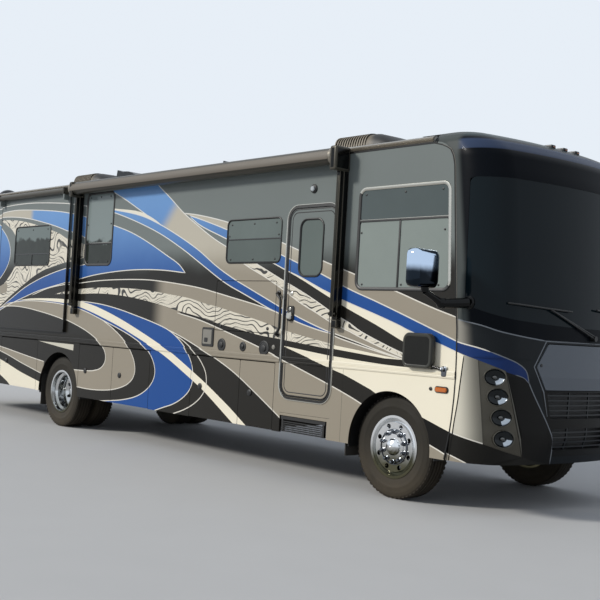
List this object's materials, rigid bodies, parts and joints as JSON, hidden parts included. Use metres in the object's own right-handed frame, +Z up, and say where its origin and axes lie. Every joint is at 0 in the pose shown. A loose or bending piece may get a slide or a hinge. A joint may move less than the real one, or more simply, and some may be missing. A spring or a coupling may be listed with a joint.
{
  "type": "motorhome",
  "caption": "Full-size motorhome coach on a front-engined bus chassis, with painted body graphics, slide-out rooms, awning, roof units and polished wheels.",
  "frame": {"origin": "on the ground under the middle of the bounding box", "axes": "+X forwards, +Y to the vehicle's left, +Z up"},
  "size_m": [11.7998, 3.689, 3.8137],
  "materials": {
    "aluminium": "satin",
    "beige_plastic": "matte",
    "black_plastic": "satin",
    "bright_plastic": "gloss",
    "bright_trim": "polished",
    "cast_iron": "rough",
    "charcoal_paint": "gloss",
    "charcoal_plastic": "satin",
    "chassis_black": "satin",
    "dark_glass": "tinted",
    "exhaust_steel": "satin",
    "glass": "clear",
    "grey_paint": "gloss",
    "polished_aluminium": "polished",
    "red_plastic": "gloss",
    "roof_white": "satin",
    "rubber": "matte",
    "seat_leather": "satin",
    "taupe_paint": "gloss",
    "tyre": "matte",
    "wall_grey": "gloss"
  },
  "bodies": {
    "coach": {"air_conditioners": "beige_plastic", "awning": "charcoal_plastic", "cab_seats": "seat_leather", "chassis_frame": "chassis_black", "dashboard": "black_plastic", "engine_block": "cast_iron", "entry_stairwell": "chassis_black", "entry_step": "black_plastic", "exhaust": "exhaust_steel", "floor_deck": "chassis_black", "front_axle": "chassis_black", "front_cap": "charcoal_paint", "fuel_tank": "exhaust_steel", "grille": "bright_trim", "headlamps": "bright_plastic", "ladder": "aluminium", "left_skirt": "taupe_paint", "left_wall": "wall_grey", "levelling_jacks": "chassis_black", "luggage_bays": "chassis_black", "mirrors": "black_plastic", "mud_flaps": "rubber", "rear_axle": "chassis_black", "rear_bumper": "charcoal_paint", "rear_wall": "wall_grey", "right_skirt": "taupe_paint", "right_wall": "wall_grey", "roof": "roof_white", "roof_vents": "black_plastic", "side_windows": "dark_glass", "tail_lamps": "red_plastic", "windshield": "glass", "wipers": "black_plastic"},
    "entry_door": {"entry_door": "wall_grey", "entry_door_glass": "dark_glass"},
    "screen_flap": {"screen_flap": "taupe_paint"},
    "hood": {"hood": "grey_paint"},
    "slide_room_right": {"slide_room_right": "wall_grey", "slide_glass_right": "dark_glass"},
    "slide_room_left": {"slide_room_left": "wall_grey", "slide_glass_left": "dark_glass"},
    "knuckle_right": {"knuckle_right": "cast_iron"},
    "knuckle_left": {"knuckle_left": "cast_iron"},
    "tie_rod": {"tie_rod": "chassis_black"},
    "front_wheel_right": {"front_tyre_right": "tyre", "front_rim_right": "polished_aluminium"},
    "front_wheel_left": {"front_tyre_left": "tyre", "front_rim_left": "polished_aluminium"},
    "rear_wheels_right": {"rear_tyres_right": "tyre", "rear_rims_right": "polished_aluminium"},
    "rear_wheels_left": {"rear_tyres_left": "tyre", "rear_rims_left": "polished_aluminium"},
    "bay_door_left_1": {"bay_door_left_1": "taupe_paint"},
    "bay_door_left_2": {"bay_door_left_2": "taupe_paint"},
    "bay_door_left_3": {"bay_door_left_3": "taupe_paint"},
    "bay_door_right_1": {"bay_door_right_1": "taupe_paint"},
    "bay_door_right_2": {"bay_door_right_2": "taupe_paint"},
    "bay_door_right_3": {"bay_door_right_3": "taupe_paint"},
    "bay_door_right_4": {"bay_door_right_4": "taupe_paint"},
    "bay_door_right_5": {"bay_door_right_5": "taupe_paint"}
  },
  "joints": [
    {"name": "steer_right", "type": "hinge", "parent": "coach", "child": "knuckle_right", "pos_m": [4.5101, -0.912, 0.49], "axis": [0, 0, 1], "range_deg": [-35, 35]},
    {"name": "steer_left", "type": "hinge", "parent": "coach", "child": "knuckle_left", "pos_m": [4.5101, 0.912, 0.49], "axis": [0, 0, 1], "range_deg": [-35, 35]},
    {"name": "tie_rod_pivot", "type": "hinge", "parent": "knuckle_left", "child": "tie_rod", "pos_m": [4.3301, 0.912, 0.35], "axis": [0, 0, 1], "range_deg": [-35, 35]},
    {"name": "front_wheel_right_spin", "type": "hinge", "parent": "knuckle_right", "child": "front_wheel_right", "pos_m": [4.5101, -1.072, 0.49], "axis": [0, 1, 0], "continuous": true},
    {"name": "front_wheel_left_spin", "type": "hinge", "parent": "knuckle_left", "child": "front_wheel_left", "pos_m": [4.5101, 1.072, 0.49], "axis": [0, 1, 0], "continuous": true},
    {"name": "rear_wheels_right_spin", "type": "hinge", "parent": "coach", "child": "rear_wheels_right", "pos_m": [-1.8899, -1.09, 0.49], "axis": [0, 1, 0], "continuous": true},
    {"name": "rear_wheels_left_spin", "type": "hinge", "parent": "coach", "child": "rear_wheels_left", "pos_m": [-1.8899, 1.09, 0.49], "axis": [0, 1, 0], "continuous": true},
    {"name": "entry_door_hinge", "type": "hinge", "parent": "coach", "child": "entry_door", "pos_m": [3.6621, -1.283, 1.84], "axis": [0, 0, 1], "range_deg": [0, 90]},
    {"name": "screen_flap_hinge", "type": "hinge", "parent": "coach", "child": "screen_flap", "pos_m": [2.2301, -1.283, 2.063], "axis": [-1, 0, 0], "range_deg": [0, 85]},
    {"name": "hood_hinge", "type": "hinge", "parent": "coach", "child": "hood", "pos_m": [5.8651, 0, 1.5525], "axis": [0, -1, 0], "range_deg": [0, 70]},
    {"name": "bay_door_right_1_hinge", "type": "hinge", "parent": "coach", "child": "bay_door_right_1", "pos_m": [2.8071, -1.283, 0.82], "axis": [0, 0, 1], "range_deg": [0, 90]},
    {"name": "bay_door_right_2_hinge", "type": "hinge", "parent": "coach", "child": "bay_door_right_2", "pos_m": [2.2091, -1.283, 0.82], "axis": [0, 0, 1], "range_deg": [0, 90]},
    {"name": "bay_door_right_3_hinge", "type": "hinge", "parent": "coach", "child": "bay_door_right_3", "pos_m": [0.4091, -1.283, 0.82], "axis": [0, 0, 1], "range_deg": [0, 90]},
    {"name": "bay_door_right_4_hinge", "type": "hinge", "parent": "coach", "child": "bay_door_right_4", "pos_m": [-0.4709, -1.283, 0.82], "axis": [0, 0, 1], "range_deg": [0, 90]},
    {"name": "bay_door_right_5_hinge", "type": "hinge", "parent": "coach", "child": "bay_door_right_5", "pos_m": [-2.5409, -1.283, 0.82], "axis": [0, 0, 1], "range_deg": [0, 90]},
    {"name": "bay_door_left_1_hinge", "type": "hinge", "parent": "coach", "child": "bay_door_left_1", "pos_m": [2.8071, 1.283, 0.82], "axis": [0, 0, -1], "range_deg": [0, 90]},
    {"name": "bay_door_left_2_hinge", "type": "hinge", "parent": "coach", "child": "bay_door_left_2", "pos_m": [1.2891, 1.283, 0.82], "axis": [0, 0, -1], "range_deg": [0, 90]},
    {"name": "bay_door_left_3_hinge", "type": "hinge", "parent": "coach", "child": "bay_door_left_3", "pos_m": [-2.5409, 1.283, 0.82], "axis": [0, 0, -1], "range_deg": [0, 90]},
    {"name": "slide_room_right_travel", "type": "slide", "parent": "coach", "child": "slide_room_right", "axis": [0, -1, 0], "range_m": [0, 0.6]},
    {"name": "slide_room_left_travel", "type": "slide", "parent": "coach", "child": "slide_room_left", "axis": [0, 1, 0], "range_m": [0, 0.9]}
  ],
  "couplings": [
    {"joint": "steer_left", "follows": "steer_right", "ratio": 1},
    {"joint": "tie_rod_pivot", "follows": "steer_right", "ratio": -1}
  ]
}
